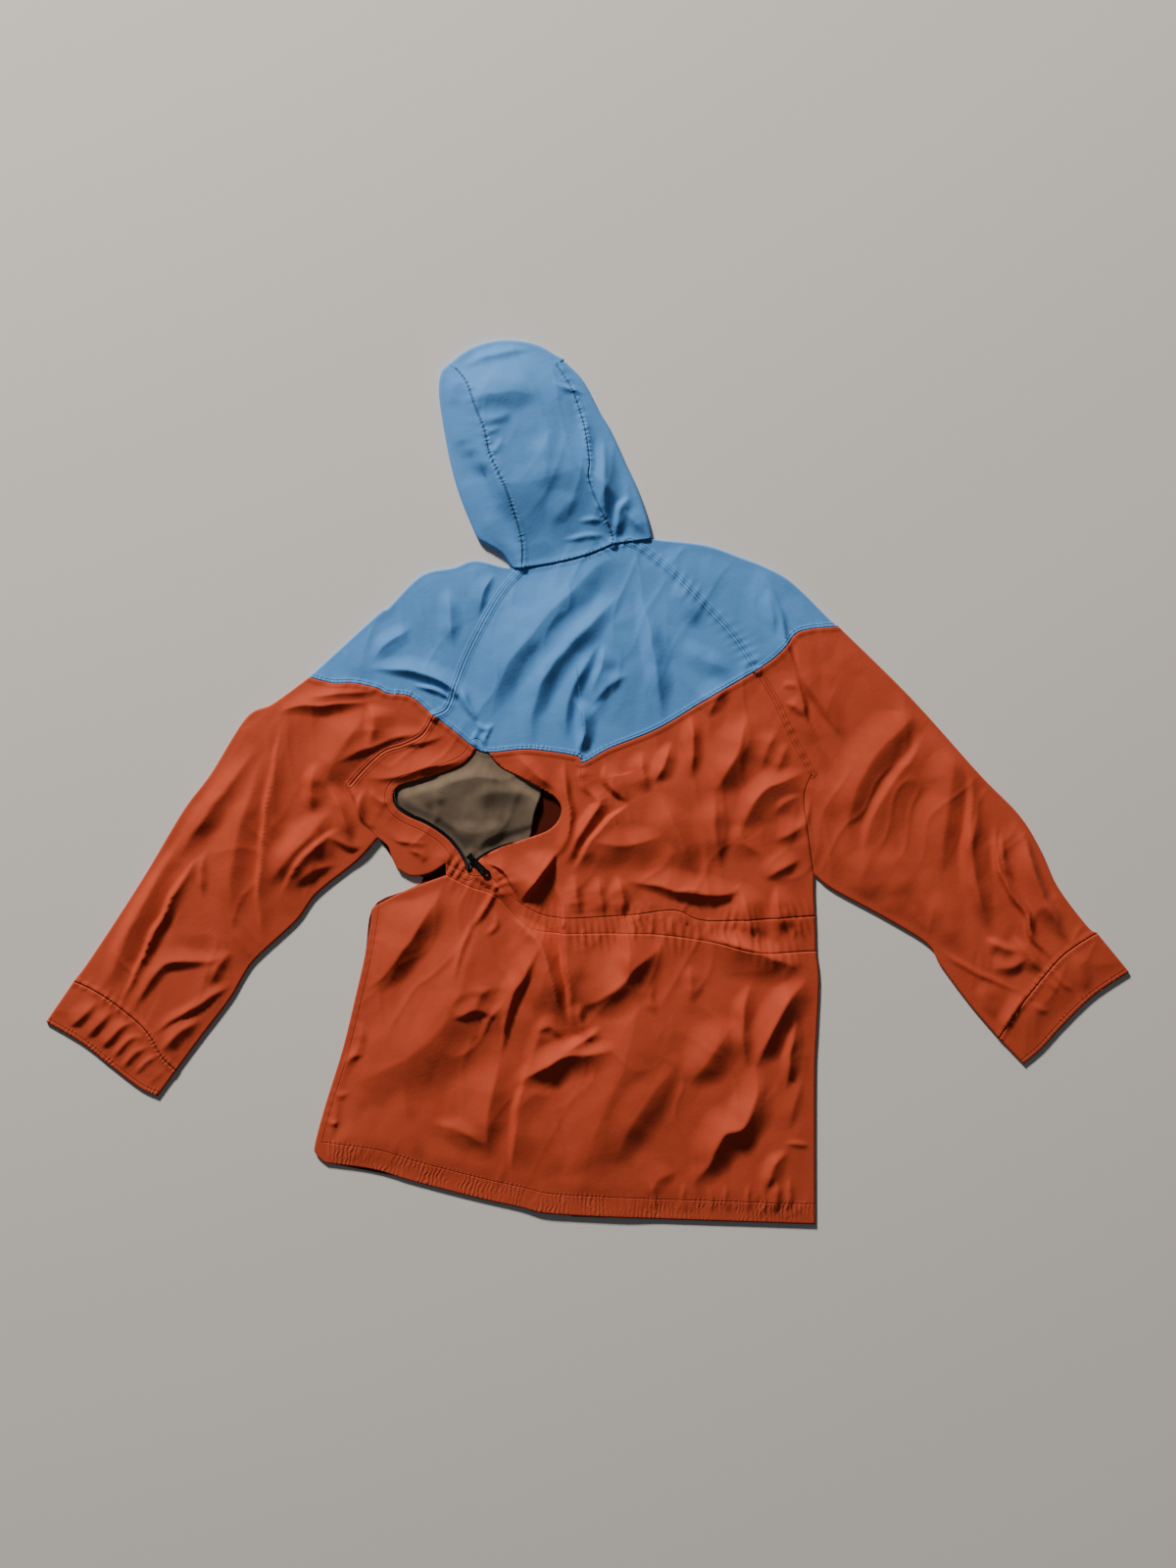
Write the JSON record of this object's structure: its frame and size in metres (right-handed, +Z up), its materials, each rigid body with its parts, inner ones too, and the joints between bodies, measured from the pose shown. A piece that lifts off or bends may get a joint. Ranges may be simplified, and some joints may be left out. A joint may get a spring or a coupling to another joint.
{
  "type": "hooded parka",
  "caption": "Hooded parka laid flat with its back up: pointed yoke, raglan sleeves, back zip pocket opening, gathered waist casing and turned-up hem.",
  "frame": {"origin": "centre of the laid-out parka's outline, on the table it rests on", "axes": "+Z up out of the back, +Y towards the hood, +X towards the right sleeve as seen from above"},
  "size_m": [1.2839, 1.0473, 0.0263],
  "materials": {
    "blue_cloth": "close-woven shell cloth, slight sheen",
    "rust_cloth": "close-woven shell cloth, slight sheen",
    "lining_cloth": "matt woven lining",
    "zip_tape": "ribbed woven tape",
    "zip_metal": "dark enamel"
  },
  "bodies": {
    "garment": {"hood_centre": "blue_cloth", "hood_side_left": "blue_cloth", "hood_side_right": "blue_cloth", "back_yoke": "blue_cloth", "sleeve_cap_left": "blue_cloth", "sleeve_cap_right": "blue_cloth", "front_yoke_left": "blue_cloth", "front_yoke_right": "blue_cloth", "sleeve_left": "rust_cloth", "sleeve_right": "rust_cloth", "cuff_left": "rust_cloth", "cuff_right": "rust_cloth", "back_bodice": "rust_cloth", "waist_casing": "rust_cloth", "back_skirt": "rust_cloth", "front_left": "rust_cloth", "front_right": "rust_cloth", "pocket_lining": "lining_cloth", "zip_tape_left": "zip_tape", "zip_tape_right": "zip_tape", "zip_slider": "zip_metal"},
    "pull_tab": {"pull_tab": "zip_metal"}
  },
  "joints": [
    {"name": "pull_tab_hinge", "type": "hinge", "parent": "garment", "child": "pull_tab", "pos_m": [-0.13688, -0.09002, 0.01163], "axis": [-0.7193, -0.6947, 0], "range_deg": [0, 165]}
  ]
}
